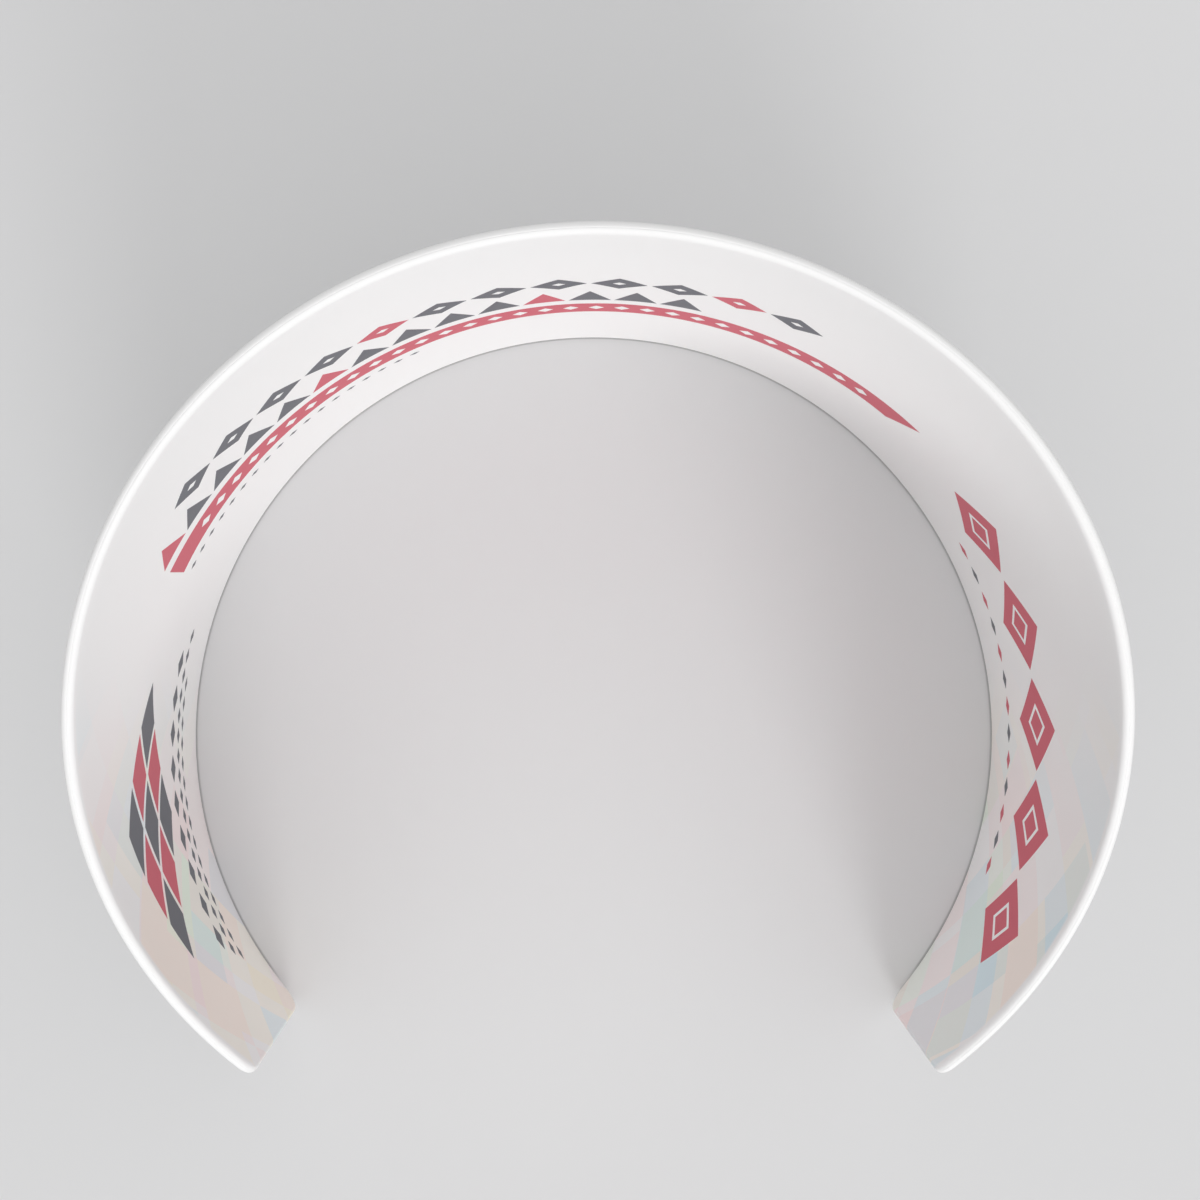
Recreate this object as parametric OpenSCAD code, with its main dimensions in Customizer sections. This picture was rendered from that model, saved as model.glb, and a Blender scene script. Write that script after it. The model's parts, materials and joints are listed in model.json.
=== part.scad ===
// Curved banner booth: a C-shaped fabric wall on a frame of round aluminium tube.
// The arc's opening faces -Y, +Z is up, and the origin is under the middle of the booth, on the floor.
// Plan angles are measured from +X about the arc's centre, so the back of the wall is at 90 degrees.

/* [Wall] */
// Radius of the wall's inner face, in plan
wall_r = 1500; // [1300:10:1800]
// Sweep of the wall in plan, in degrees
wall_arc = 263.5; // [235:0.5:285]
// Height of the rim at the back
back_h = 2300; // [2100:10:2500]
// Height of the rim at the two sides
side_h = 1765; // [1600:5:1900]
// Height of the rim at the two ends, if the corners were square
end_h = 1020; // [850:5:1200]
// Radius of the four corner bends, on the tube's centre line
corner_r = 80; // [60:5:110]

/* [Rails] */
// Outside diameter of the rail and end tubes
rail_d = 32; // [28:1:38]
// Wall of the rail and end tubes
rail_wall = 1.5; // [1.2:0.1:2]
// Length along the arc from an end of the wall to the first rail joint
corner_run = 200; // [180:5:260]

/* [Uprights] */
// Outside diameter of the uprights
upright_d = 25; // [22:1:26]
// Wall of the uprights
upright_wall = 1.2; // [1:0.1:1.6]
// Length of the lower upright tubes
upright_low = 1200; // [1000:10:1300]
// Height of the welded collar that an upright stands on
collar_h = 10; // [6:1:16]
// Length of the socket spigots inside the upright
socket_len = 60; // [40:5:80]

/* [Tube joints] */
// Length of a spigot
spigot_len = 120; // [110:5:140]
// Wall of a spigot
spigot_wall = 1.5; // [1.2:0.1:2]
// Clearance of a spigot all round in its tube
spigot_fit = 0.35; // [0.3:0.05:0.5]
// Distance from the tube joint to the snap button, and to the rivet on the other side
button_off = 35; // [30:1:40]

/* [Snap buttons] */
// Diameter of a snap button
button_d = 8; // [7:0.5:9]
// Height of a button above its tube
button_rise = 3; // [2:0.5:4]
// Diameter of the button's flange inside the spigot
flange_d = 12; // [11:0.5:13]
// Thickness of the flange
flange_t = 1; // [0.8:0.1:1.2]
// Clearance round a button in its holes
button_fit = 0.35; // [0.3:0.05:0.5]
// Width of the button's spring clip
clip_w = 7; // [5:0.5:8]
// Thickness of the spring clip
clip_t = 0.6; // [0.4:0.1:0.8]
// Diameter of a spigot rivet
rivet_d = 3.2; // [2.4:0.2:4]

/* [Cover] */
// Thickness of the fabric
fabric_t = 1.2; // [0.8:0.1:1.6]
// Gap between the fabric and the rail tubes
fabric_gap = 0.9; // [0.8:0.05:0.95]

/* [Zipper] */
// Height of the zipper's middle above the floor
zip_z = 64; // [60:1:90]
// Width of each zipper tape
tape_w = 16; // [12:1:22]
// Thickness of the zipper tape
tape_t = 0.5; // [0.3:0.05:0.55]
// Height of one row of the zipper
row_w = 2; // [1.6:0.1:3]
// Depth of a row, square to the wall
row_t = 2.4; // [1.8:0.1:3]
// Gap between the two rows
row_gap = 1.4; // [1.2:0.1:2]
// Length of the slider
slider_l = 18; // [14:1:24]
// Width of the slider
slider_w = 13; // [11:0.5:16]
// Length of the pull tab
pull_l = 34; // [26:1:50]

/* [Hidden] */

// How finely curves are drawn
sides = 16;
rail_steps = 10;
bend_steps = 5;
round_fn = 48;

// Count of rails in the foot, and of rails in the rim. Each pair has an upright between its rails.
rail_parts = 5;

// How far a cutter runs past what it cuts, and how far one form is sunk into another of its own piece
past = 5;
sink = 0.1;

// Colours
fabric_white = [0.95, 0.95, 0.95];
tube_silver = [0.78, 0.79, 0.81];
socket_grey = [0.62, 0.63, 0.66];
spring_grey = [0.5, 0.51, 0.54];
button_steel = [0.72, 0.73, 0.75];
zipper_white = [0.88, 0.88, 0.88];
zipper_metal = [0.66, 0.67, 0.69];

// Section of the edge: the fabric is rolled round the tube
rail_r = rail_d / 2;
rail_bore_r = rail_r - rail_wall;
skin_in = rail_r + fabric_gap;
skin_out = skin_in + fabric_t;
frame_r = wall_r + skin_out;

// Plan angles. Both ends lie half the sweep away from the back.
back_a = 90;
half_arc = wall_arc / 2;
end_a = back_a - half_arc;
function arc_deg(len) = len / frame_r * 180 / PI;
run_deg = arc_deg(corner_run);
part_deg = (wall_arc - 2 * run_deg) / rail_parts;
step_deg = part_deg / rail_steps;
function joint_a(j) = end_a + run_deg + j * part_deg;
function upright_a(i) = joint_a(i - 0.5);
function side(a) = a < back_a ? -1 : 1;
function end_dist(a) = (half_arc - abs(a - back_a)) / 180 * PI * frame_r;

// Chords of the drawn arc lie this far inside it, and the back panel is drawn that much wider
sag = frame_r * (1 - cos(step_deg / 2));

// The arc's centre lies behind the origin, so that the booth is centred front to back
end_front = frame_r * sin(-end_a) + skin_out;
arc_y = (end_front - frame_r - skin_out - sag) / 2;

// Rim: seen from the side, a parabola through the three heights
end_s = sin(end_a);
rim_c = ((end_h - side_h) - (back_h - side_h) * end_s) / (end_s * end_s - end_s);
rim_b = back_h - side_h - rim_c;
function rim_h(a) = side_h + rim_b * sin(a) + rim_c * sin(a) * sin(a);
function rim_slope(a) = (rim_b + 2 * rim_c * sin(a)) * cos(a) / frame_r;
function rim_rise(a) = sqrt(1 + rim_slope(a) * rim_slope(a));
function rim_tube_z(a) = rim_h(a) - skin_out * rim_rise(a);

// Foot: the fabric under the bottom rail is flat for a few degrees each side of its lowest line
foot_flat_psi = 75;
foot_z = skin_out * sin(foot_flat_psi);

// Top corners: the bend runs from upright into the slope of the rim
function bend_slope(n, g) = n == 0 ? g
  : bend_slope(n - 1, abs(rim_slope(end_a + arc_deg(corner_r * (1 - sin(atan(g)))))));
end_slope = bend_slope(4, abs(rim_slope(end_a)));
bend_d = corner_r * (1 - sin(atan(end_slope)));
bend_z = rim_tube_z(end_a + arc_deg(bend_d)) - corner_r * cos(atan(end_slope));
function bend_out(d) = (corner_r - d) / corner_r;
function bend_up(d) = sqrt(max(0, 1 - bend_out(d) * bend_out(d)));

// Height of the tube's centre line and its outward direction [along the arc, up], at a plan angle
function top_z(a) = end_dist(a) < bend_d ? bend_z + corner_r * bend_up(end_dist(a)) : rim_tube_z(a);
function top_n(a) = end_dist(a) < bend_d
  ? [side(a) * bend_out(end_dist(a)), bend_up(end_dist(a))]
  : [-rim_slope(a), 1] / rim_rise(a);
function foot_path_z(a) = end_dist(a) < corner_r
  ? foot_z + corner_r * (1 - bend_up(end_dist(a))) : foot_z;
function foot_n(a) = end_dist(a) < corner_r
  ? [side(a) * bend_out(end_dist(a)), -bend_up(end_dist(a))] : [0, -1];

// Stations: the plan angles at which tubes and fabric have a section
bend_d_list = [for (k = [0:bend_steps - 1]) corner_r * (1 - cos(k * 90 / bend_steps))];
near_d = concat(bend_d_list, [corner_r, corner_run - spigot_len / 2]);
near_n = len(near_d);
rail_n = rail_parts * rail_steps;
station = concat(
  [for (d = near_d) end_a + arc_deg(d)],
  [for (k = [0:rail_n]) joint_a(0) + k * step_deg],
  [for (k = [1:near_n]) 180 - end_a - arc_deg(near_d[near_n - k])]);
stations = len(station);
slit_first = near_n;
slit_last = near_n + rail_n;

// The frame's outline is a loop: the rim from right to left, then the foot back again
loop_n = 2 * stations;
function loop_i(x) = (x + loop_n) % loop_n;
function loop_a(i) = i < stations ? station[i] : station[loop_n - 1 - i];
function loop_z(i) = i < stations ? top_z(loop_a(i)) : foot_path_z(loop_a(i));
function loop_dir(i) = i < stations ? top_n(loop_a(i)) : foot_n(loop_a(i));
function rim_x(a) = lookup(a, [for (k = [0:stations - 1]) [station[k], k]]);

// Unit vectors at a plan angle, and a point of the edge section at an outline station
function across(a) = [cos(a), sin(a), 0];
function along(a) = [-sin(a), cos(a), 0];
function outward(i) = let (a = loop_a(i), n = loop_dir(i)) n[0] * along(a) + [0, 0, n[1]];
function loop_pt(i) = frame_r * across(loop_a(i)) + [0, arc_y, loop_z(i)];
function edge_pt(i, out, up) = loop_pt(i) + out * across(loop_a(i)) + up * outward(i);
function blend(x, f0, f1) = let (t = x - floor(x)) f0 * (1 - t) + f1 * t;
function centre_at(x) = blend(x, loop_pt(loop_i(floor(x))), loop_pt(loop_i(floor(x) + 1)));
function outward_at(x) = blend(x, outward(loop_i(floor(x))), outward(loop_i(floor(x) + 1)));

// Two triangles for each quad
function quad(a, b, c, d) = [[a, b, c], [a, c, d]];
function flat_list(list) = [for (item = list) for (one = item) one];

// Tube along the outline from x0 to x1, hollow, with flats outside its bore and inside its skin
function ring(i, r) = [for (s = [0:sides - 1])
  edge_pt(i, r * cos(s * 360 / sides), r * sin(s * 360 / sides))];
function ring_at(x, r) = let (r0 = ring(loop_i(floor(x)), r), r1 = ring(loop_i(floor(x) + 1), r))
  [for (s = [0:sides - 1]) blend(x, r0[s], r1[s])];
join_slack = 0.001;
function stops(x0, x1) = concat([x0],
  [for (k = [ceil(x0):1:floor(x1)]) if (k > x0 + join_slack && k < x1 - join_slack) k], [x1]);

module outline_tube(x0, x1, r_out, r_in) {
  xs = stops(x0, x1);
  n = len(xs);
  bore = r_in / cos(180 / sides);
  points = concat(flat_list([for (x = xs) ring_at(x, r_out)]), flat_list([for (x = xs) ring_at(x, bore)]));
  inner = n * sides;
  function at(k, s) = k * sides + s % sides;
  faces = flat_list(concat(
    [for (k = [0:n - 2], s = [0:sides - 1])
      quad(at(k, s), at(k, s + 1), at(k + 1, s + 1), at(k + 1, s))],
    [for (k = [0:n - 2], s = [0:sides - 1])
      quad(inner + at(k, s), inner + at(k + 1, s), inner + at(k + 1, s + 1), inner + at(k, s + 1))],
    [for (s = [0:sides - 1]) quad(at(0, s), inner + at(0, s), inner + at(0, s + 1), at(0, s + 1))],
    [for (s = [0:sides - 1])
      quad(at(n - 1, s), at(n - 1, s + 1), inner + at(n - 1, s + 1), inner + at(n - 1, s))]));
  polyhedron(points, faces);
}

// Places its children at a plan angle: X square to the wall, Y along it, Z up, from the arc's centre
module at_angle(a) translate([0, arc_y, 0]) rotate([0, 0, a]) children();

// Places its children on the rim tube's axis: X along the tube to lower plan angles, Z into the wall
module at_outline(x) {
  c = centre_at(x);
  z = -outward_at(x) / norm(outward_at(x));
  a = atan2(c[1] - arc_y, c[0]);
  pipe = cross(across(a), z);
  x_way = pipe * along(a) < 0 ? pipe / norm(pipe) : -pipe / norm(pipe);
  y_way = cross(z, x_way);
  multmatrix([
    [x_way[0], y_way[0], z[0], c[0]],
    [x_way[1], y_way[1], z[1], c[1]],
    [x_way[2], y_way[2], z[2], c[2]],
    [0, 0, 0, 1]]) children();
}

// Snap button, on the tube's axis with Z the way it points
spigot_r = rail_bore_r - spigot_fit;
spigot_bore_r = spigot_r - spigot_wall;
upright_r = upright_d / 2;
upright_bore_r = upright_r - upright_wall;
upright_spigot_r = upright_bore_r - spigot_fit;
upright_spigot_bore_r = upright_spigot_r - spigot_wall;
hole_d = button_d + 2 * button_fit;
flange_room = 0.2;
function flange_top(bore_r) = sqrt(bore_r * bore_r - flange_d * flange_d / 4) - flange_room;

module snap_button(tube_r, bore_r) {
  top = tube_r + button_rise;
  low = flange_top(bore_r) - flange_t;
  edge = button_d / 4;
  rotate_extrude($fn = round_fn) union() {
    translate([0, low]) square([flange_d / 2, flange_t]);
    translate([0, low]) square([button_d / 2, top - edge - low]);
    translate([0, top - edge - 1]) square([button_d / 2 - edge, edge + 1]);
    translate([button_d / 2 - edge, top - edge]) intersection() {
      circle(edge, $fn = round_fn);
      square(edge);
    }
  }
}

module button_hole(tube_r) cylinder(d = hole_d, h = tube_r + past, $fn = round_fn);

// Places its children on the bottom rail's axis: X along it to lower plan angles, Z up
module at_foot(a) at_angle(a) translate([frame_r, 0, foot_z]) rotate([0, 0, -90]) children();

// Places its children on an upright's axis at a height: X down, Z along the wall
module at_upright(i, z) at_angle(upright_a(i)) translate([frame_r, 0, z])
  rotate([-90, 0, 0]) rotate([0, 0, 90]) children();

// Plan angle a given length along the tube from joint j, to higher angles where the length is positive
function foot_off(j, len) = joint_a(j) + arc_deg(len);
function rim_off(j, len) = joint_a(j) + arc_deg(len / rim_rise(joint_a(j)));

// Heights of an upright's faces
foot_face = foot_z + rail_r + collar_h;
upright_joint_z = foot_face + upright_low;
function head_face(a) = rim_tube_z(a) - rail_r * rim_rise(a) - upright_r * abs(rim_slope(a)) - collar_h;

// Rivet, on the tube's axis with Z out of the tube
rivet_head_r = rivet_d * 1.2;
rivet_head_t = 1.2;
rivet_tail_r = rivet_d * 0.8;
rivet_tail_t = 0.8;
rivet_fit = 0.1;
module rivet(tube_r, bore_r) {
  tail = sqrt(bore_r * bore_r - rivet_tail_r * rivet_tail_r) - rivet_fit;
  translate([0, 0, tail - rivet_tail_t]) cylinder(r = rivet_tail_r, h = rivet_tail_t, $fn = round_fn);
  translate([0, 0, tail - rivet_tail_t]) cylinder(d = rivet_d, h = tube_r + rivet_head_t - tail,
    $fn = round_fn);
  translate([0, 0, tube_r]) cylinder(r1 = rivet_head_r, r2 = rivet_head_r * 0.6, h = rivet_head_t,
    $fn = round_fn);
}
module rivet_hole(tube_r) cylinder(r = rivet_d / 2 + rivet_fit, h = tube_r + past, $fn = round_fn);

// Spring clip of a snap button: a V of strip that bears on the far side of the bore
clip_bend_r = 4;
clip_tail = 10;
clip_reach = 26;
clip_room = 0.5;
function unit(v) = v / norm(v);
function strip_way(p, i) = unit(unit(p[min(i + 1, len(p) - 1)] - p[max(i - 1, 0)]));
function strip(p, t) = concat(
  [for (i = [0:len(p) - 1]) p[i] + t / 2 * [-strip_way(p, i)[1], strip_way(p, i)[0]]],
  [for (i = [len(p) - 1:-1:0]) p[i] - t / 2 * [-strip_way(p, i)[1], strip_way(p, i)[0]]]);
module clip(bore_r) {
  low = -sqrt(bore_r * bore_r - clip_w * clip_w / 4) + clip_t / 2 + flange_room;
  high = flange_top(bore_r) - flange_t / 2;
  bend = [for (q = [-90:22.5:90]) [clip_reach + clip_bend_r * cos(q), low + clip_bend_r * (1 + sin(q))]];
  path = concat([[-clip_tail, low]], bend, [[flange_d / 2 + clip_room, high]]);
  rotate([90, 0, 0]) linear_extrude(clip_w, center = true) polygon(strip(path, clip_t));
}

// Cover: each panel is a skin of fabric from the middle of the wall round the edge tube to the seam
front_psi = [180, 153, 128, 180 - foot_flat_psi, 90];
back_psi = [0, 27, 52, foot_flat_psi, 90];
psi_n = len(front_psi);
slit_fit = 0.4;
slit_h = row_gap + 2 * (row_w + slit_fit);
slit_low = zip_z - slit_h / 2;
slit_high = zip_z + slit_h / 2;

function on_floor(p) = [p[0], p[1], max(0, p[2])];
function skin_pts(psi, r, wide) = [for (i = [0:loop_n - 1], q = psi)
  on_floor(edge_pt(i, (r + wide) * cos(q), r * sin(q)))];
function skin_at(layer, i, j) = (layer * loop_n + i % loop_n) * psi_n + j;
function rim_at(layer, k) = skin_at(layer, k, 0);
function hem_at(layer, k) = skin_at(layer, loop_n - 1 - k, 0);
function back_way(tri) = [for (t = tri) [t[0], t[2], t[1]]];

function edge_faces(layer) = flat_list([for (i = [0:loop_n - 1], j = [0:psi_n - 2])
  quad(skin_at(layer, i, j), skin_at(layer, i, j + 1),
    skin_at(layer, i + 1, j + 1), skin_at(layer, i + 1, j))]);
function wall_faces(layer, k0, k1) = flat_list([for (k = [k0:1:k1 - 1])
  quad(rim_at(layer, k), rim_at(layer, k + 1), hem_at(layer, k + 1), hem_at(layer, k))]);
function seam_faces() = flat_list([for (i = [0:loop_n - 1])
  quad(skin_at(0, i, psi_n - 1), skin_at(1, i, psi_n - 1),
    skin_at(1, i + 1, psi_n - 1), skin_at(0, i + 1, psi_n - 1))]);

module front_panel() color(fabric_white) {
  points = concat(skin_pts(front_psi, skin_out, 0), skin_pts(front_psi, skin_in, 0));
  faces = concat(
    edge_faces(0), wall_faces(0, 0, stations - 1),
    back_way(edge_faces(1)), back_way(wall_faces(1, 0, stations - 1)),
    seam_faces());
  polyhedron(points, back_way(faces));
}

// The back panel has the zipper's slit, whose edges are four more rows of points
slit_n = slit_last - slit_first + 1;
slit_from = 2 * loop_n * psi_n;
function slit_pts(r, z) = [for (k = [slit_first:slit_last])
  (frame_r + r + sag) * across(station[k]) + [0, arc_y, z]];
function high_at(layer, k) = slit_from + 2 * layer * slit_n + k - slit_first;
function low_at(layer, k) = high_at(layer, k) + slit_n;
function slit_wall_faces(layer) = concat(
  flat_list([for (k = [slit_first:slit_last - 1]) concat(
    quad(rim_at(layer, k), rim_at(layer, k + 1), high_at(layer, k + 1), high_at(layer, k)),
    quad(low_at(layer, k), low_at(layer, k + 1), hem_at(layer, k + 1), hem_at(layer, k)))]),
  let (k = slit_first, far = rim_at(layer, k - 1)) [
    [far, rim_at(layer, k), high_at(layer, k)], [far, high_at(layer, k), low_at(layer, k)],
    [far, low_at(layer, k), hem_at(layer, k)], [far, hem_at(layer, k), hem_at(layer, k - 1)]],
  let (k = slit_last, far = rim_at(layer, k + 1)) [
    [far, hem_at(layer, k + 1), hem_at(layer, k)], [far, hem_at(layer, k), low_at(layer, k)],
    [far, low_at(layer, k), high_at(layer, k)], [far, high_at(layer, k), rim_at(layer, k)]]);
function slit_edge_faces() = concat(
  flat_list([for (k = [slit_first:slit_last - 1]) concat(
    quad(high_at(0, k), high_at(0, k + 1), high_at(1, k + 1), high_at(1, k)),
    quad(low_at(0, k + 1), low_at(0, k), low_at(1, k), low_at(1, k + 1)))]),
  quad(low_at(0, slit_first), high_at(0, slit_first), high_at(1, slit_first), low_at(1, slit_first)),
  quad(high_at(0, slit_last), low_at(0, slit_last), low_at(1, slit_last), high_at(1, slit_last)));
function back_wall_faces(layer) = concat(wall_faces(layer, 0, slit_first - 1),
  slit_wall_faces(layer), wall_faces(layer, slit_last + 1, stations - 1));

module back_panel() color(fabric_white) {
  points = concat(skin_pts(back_psi, skin_out, sag), skin_pts(back_psi, skin_in, sag),
    slit_pts(skin_out, slit_high), slit_pts(skin_out, slit_low),
    slit_pts(skin_in, slit_high), slit_pts(skin_in, slit_low));
  faces = concat(
    edge_faces(0), back_wall_faces(0),
    back_way(edge_faces(1)), back_way(back_wall_faces(1)),
    seam_faces(), slit_edge_faces());
  polyhedron(points, faces);
}

// Rails: part i runs from joint i - 1 to joint i, with a button hole near one end and a rivet hole
// near the other
module foot_ring(a0, a1, r) translate([0, arc_y, 0]) rotate([0, 0, a0])
  rotate_extrude(angle = a1 - a0, $fn = 360) translate([frame_r, foot_z]) circle(r, $fn = round_fn);
module foot_tube(a0, a1, r_out, r_in) translate([0, arc_y, 0]) rotate([0, 0, a0])
  rotate_extrude(angle = a1 - a0, $fn = 360) translate([frame_r, foot_z]) difference() {
    circle(r_out, $fn = round_fn);
    circle(r_in, $fn = round_fn);
  }
module at_foot_button(j) at_foot(foot_off(j, button_off)) children();
module at_foot_rivet(j) at_foot(foot_off(j, -button_off)) children();
module at_rim_button(j) at_outline(rim_x(rim_off(j, button_off))) children();
module at_rim_rivet(j) at_outline(rim_x(rim_off(j, -button_off))) children();
function rail_x(j) = near_n + j * rail_steps;

module bottom_rail(i) color(tube_silver) difference() {
  foot_tube(joint_a(i - 1), joint_a(i), rail_r, rail_bore_r);
  at_foot_button(i - 1) button_hole(rail_r);
  at_foot_rivet(i) rivet_hole(rail_r);
}

module top_rail(i) color(tube_silver) difference() {
  outline_tube(rail_x(i - 1), rail_x(i), rail_r, rail_bore_r);
  at_rim_button(i - 1) button_hole(rail_r);
  at_rim_rivet(i) rivet_hole(rail_r);
}

module end_tube_right() color(tube_silver) difference() {
  outline_tube(loop_n - 1 - near_n, loop_n + near_n, rail_r, rail_bore_r);
  at_foot_rivet(0) rivet_hole(rail_r);
  at_rim_rivet(0) rivet_hole(rail_r);
}

module end_tube_left() color(tube_silver) difference() {
  outline_tube(rail_x(rail_parts), 2 * stations - 1 - rail_x(rail_parts), rail_r, rail_bore_r);
  at_foot_button(rail_parts) button_hole(rail_r);
  at_rim_button(rail_parts) button_hole(rail_r);
}

module bottom_spigots() color(socket_grey) for (j = [0:rail_parts]) difference() {
  foot_tube(foot_off(j, -spigot_len / 2), foot_off(j, spigot_len / 2), spigot_r, spigot_bore_r);
  at_foot_button(j) button_hole(rail_r);
  at_foot_rivet(j) rivet_hole(rail_r);
}

module top_spigots() color(socket_grey) for (j = [0:rail_parts]) difference() {
  outline_tube(rim_x(rim_off(j, -spigot_len / 2)), rim_x(rim_off(j, spigot_len / 2)),
    spigot_r, spigot_bore_r);
  at_rim_button(j) button_hole(rail_r);
  at_rim_rivet(j) rivet_hole(rail_r);
}

// Uprights, and the sockets whose saddles are cut to the rails they are welded to
weld_gap = 0.1;
saddle_l = 4 * upright_d;
module pipe_z(z0, z1, r_out, r_in) difference() {
  translate([0, 0, z0]) cylinder(r = r_out, h = z1 - z0, $fn = round_fn);
  translate([0, 0, z0 - past]) cylinder(r = r_in, h = z1 - z0 + 2 * past, $fn = round_fn);
}
module on_upright(i) at_angle(upright_a(i)) translate([frame_r, 0, 0]) children();

module upright_lower(i) color(tube_silver) difference() {
  on_upright(i) pipe_z(foot_face, upright_joint_z, upright_r, upright_bore_r);
  at_upright(i, upright_joint_z - button_off) rivet_hole(upright_r);
}

module upright_upper(i) color(tube_silver) difference() {
  on_upright(i) pipe_z(upright_joint_z, head_face(upright_a(i)), upright_r, upright_bore_r);
  at_upright(i, upright_joint_z + button_off) button_hole(upright_r);
}

module upright_spigots() color(socket_grey) for (i = [1:rail_parts]) difference() {
  on_upright(i) pipe_z(upright_joint_z - spigot_len / 2, upright_joint_z + spigot_len / 2,
    upright_spigot_r, upright_spigot_bore_r);
  at_upright(i, upright_joint_z + button_off) button_hole(upright_r);
  at_upright(i, upright_joint_z - button_off) rivet_hole(upright_r);
}

module foot_sockets() color(socket_grey) for (i = [1:rail_parts]) difference() {
  on_upright(i) {
    pipe_z(foot_z, foot_face, upright_r, upright_spigot_bore_r);
    pipe_z(foot_z, foot_face + socket_len, upright_spigot_r, upright_spigot_bore_r);
  }
  foot_ring(upright_a(i) - arc_deg(saddle_l / 2), upright_a(i) + arc_deg(saddle_l / 2), rail_r + weld_gap);
}

module head_sockets() color(socket_grey) for (i = [1:rail_parts]) difference() {
  on_upright(i) {
    pipe_z(head_face(upright_a(i)), rim_tube_z(upright_a(i)), upright_r, upright_spigot_bore_r);
    pipe_z(head_face(upright_a(i)) - socket_len, rim_tube_z(upright_a(i)),
      upright_spigot_r, upright_spigot_bore_r);
  }
  at_outline(rail_x(i - 0.5)) rotate([0, 90, 0])
    cylinder(r = rail_r + weld_gap, h = saddle_l, center = true, $fn = round_fn);
}

// Snap buttons, their clips and the rivets
module bottom_button(j) color(button_steel) at_foot_button(j - 1) snap_button(rail_r, spigot_bore_r);
module top_button(j) color(button_steel) at_rim_button(j - 1) snap_button(rail_r, spigot_bore_r);
module upright_button(i) color(button_steel)
  at_upright(i, upright_joint_z + button_off) snap_button(upright_r, upright_spigot_bore_r);

module button_clips() color(spring_grey) {
  for (j = [0:rail_parts]) {
    at_foot_button(j) clip(spigot_bore_r);
    at_rim_button(j) clip(spigot_bore_r);
  }
  for (i = [1:rail_parts]) at_upright(i, upright_joint_z + button_off) clip(upright_spigot_bore_r);
}

module spigot_rivets() color(spring_grey) {
  for (j = [0:rail_parts]) {
    at_foot_rivet(j) rivet(rail_r, spigot_bore_r);
    at_rim_rivet(j) rivet(rail_r, spigot_bore_r);
  }
  for (i = [1:rail_parts]) at_upright(i, upright_joint_z - button_off) rivet(upright_r, upright_spigot_bore_r);
}

// Zipper: two tapes behind the slit, a row on each, and the slider on the rows
sew_gap = 0.1;
tape_out = skin_in - sew_gap;
tape_in = tape_out - tape_t;
row_out = tape_out + row_t;
tape_past = 6;
stop_l = 4;
stop_gap = 0.5;
stop_proud = 0.3;
slide_gap = 0.4;
zip_from = joint_a(0) + arc_deg(stop_gap);
zip_to = joint_a(rail_parts) - arc_deg(stop_gap);
row_from = zip_from + arc_deg(stop_l);
row_to = zip_to - arc_deg(stop_l);

module wall_band(a0, a1, r0, r1, z0, z1) translate([0, arc_y, 0]) rotate([0, 0, a0])
  rotate_extrude(angle = a1 - a0, $fn = 360) translate([frame_r + r0, z0]) square([r1 - r0, z1 - z0]);

module zipper_tape(way) wall_band(joint_a(0) - arc_deg(tape_past), joint_a(rail_parts) + arc_deg(tape_past),
  tape_in, tape_out, zip_z + min(way * row_gap / 2, way * (row_gap / 2 + tape_w)),
  zip_z + max(way * row_gap / 2, way * (row_gap / 2 + tape_w)));
module zipper_row(way) wall_band(row_from, row_to, tape_out, row_out,
  zip_z + min(way * row_gap / 2, way * (row_gap / 2 + row_w)),
  zip_z + max(way * row_gap / 2, way * (row_gap / 2 + row_w)));

module zipper_upper_tape() color(zipper_white) zipper_tape(1);
module zipper_lower_tape() color(zipper_white) zipper_tape(-1);
module zipper_upper_row() color(zipper_white) zipper_row(1);
module zipper_lower_row() color(zipper_white) zipper_row(-1);
module zipper_stops() color(zipper_metal) for (a = [[zip_from, row_from], [row_to, zip_to]])
  wall_band(a[0], a[1], tape_out, row_out + stop_proud,
    zip_z - row_gap / 2 - row_w, zip_z + row_gap / 2 + row_w);

// Slider: two plates, round at the nose and narrower at the tail, joined by a thin web between the
// rows, and an arched crown that the pull tab hooks
plate_t = 1.4;
plate_out0 = max(skin_out + sag, row_out) + slide_gap;
plate_out1 = plate_out0 + plate_t;
plate_in1 = tape_in - slide_gap;
plate_in_t = 1.1;
plate_in0 = plate_in1 - plate_in_t;
tail_w = slider_w * 0.72;
tail_r = 1.5;
web_l = 4;
web_nose = 2;
web_fit = 0.35;
web_t = row_gap - 2 * web_fit;
slider_a = row_from + arc_deg(slider_l / 2 + stop_gap);
pin_d = 1.3;
crown_bore_r = 1.2;
pull_lift = 0.25;
pin_x = plate_out1 + pull_lift + crown_bore_r;
crown_bar = 1;
crown_l = 9;
crown_w = 3;
module plate(x0, x1) translate([x0, 0, 0]) rotate([90, 0, 90]) linear_extrude(x1 - x0) hull() {
  translate([(slider_w - slider_l) / 2, 0]) circle(d = slider_w, $fn = round_fn);
  for (way = [-1, 1]) translate([slider_l / 2 - tail_r, way * (tail_w / 2 - tail_r)])
    circle(r = tail_r, $fn = round_fn / 2);
}
module on_slider() at_angle(slider_a) translate([frame_r, 0, zip_z]) children();

module zipper_slider() color(zipper_metal) on_slider() {
  plate(plate_in0, plate_in1);
  plate(plate_out0, plate_out1);
  translate([plate_in1 - sink, web_nose - slider_l / 2, -web_t / 2])
    cube([plate_out0 - plate_in1 + 2 * sink, web_l, web_t]);
  difference() {
    linear_extrude(crown_w, center = true) hull() {
      translate([pin_x, 0]) circle(r = crown_bore_r + crown_bar, $fn = round_fn);
      translate([plate_out1 - sink, -crown_l / 2]) square([2 * sink, crown_l]);
    }
    translate([pin_x, 0, 0]) cylinder(r = crown_bore_r, h = 2 * crown_w, center = true, $fn = round_fn);
  }
}

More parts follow.
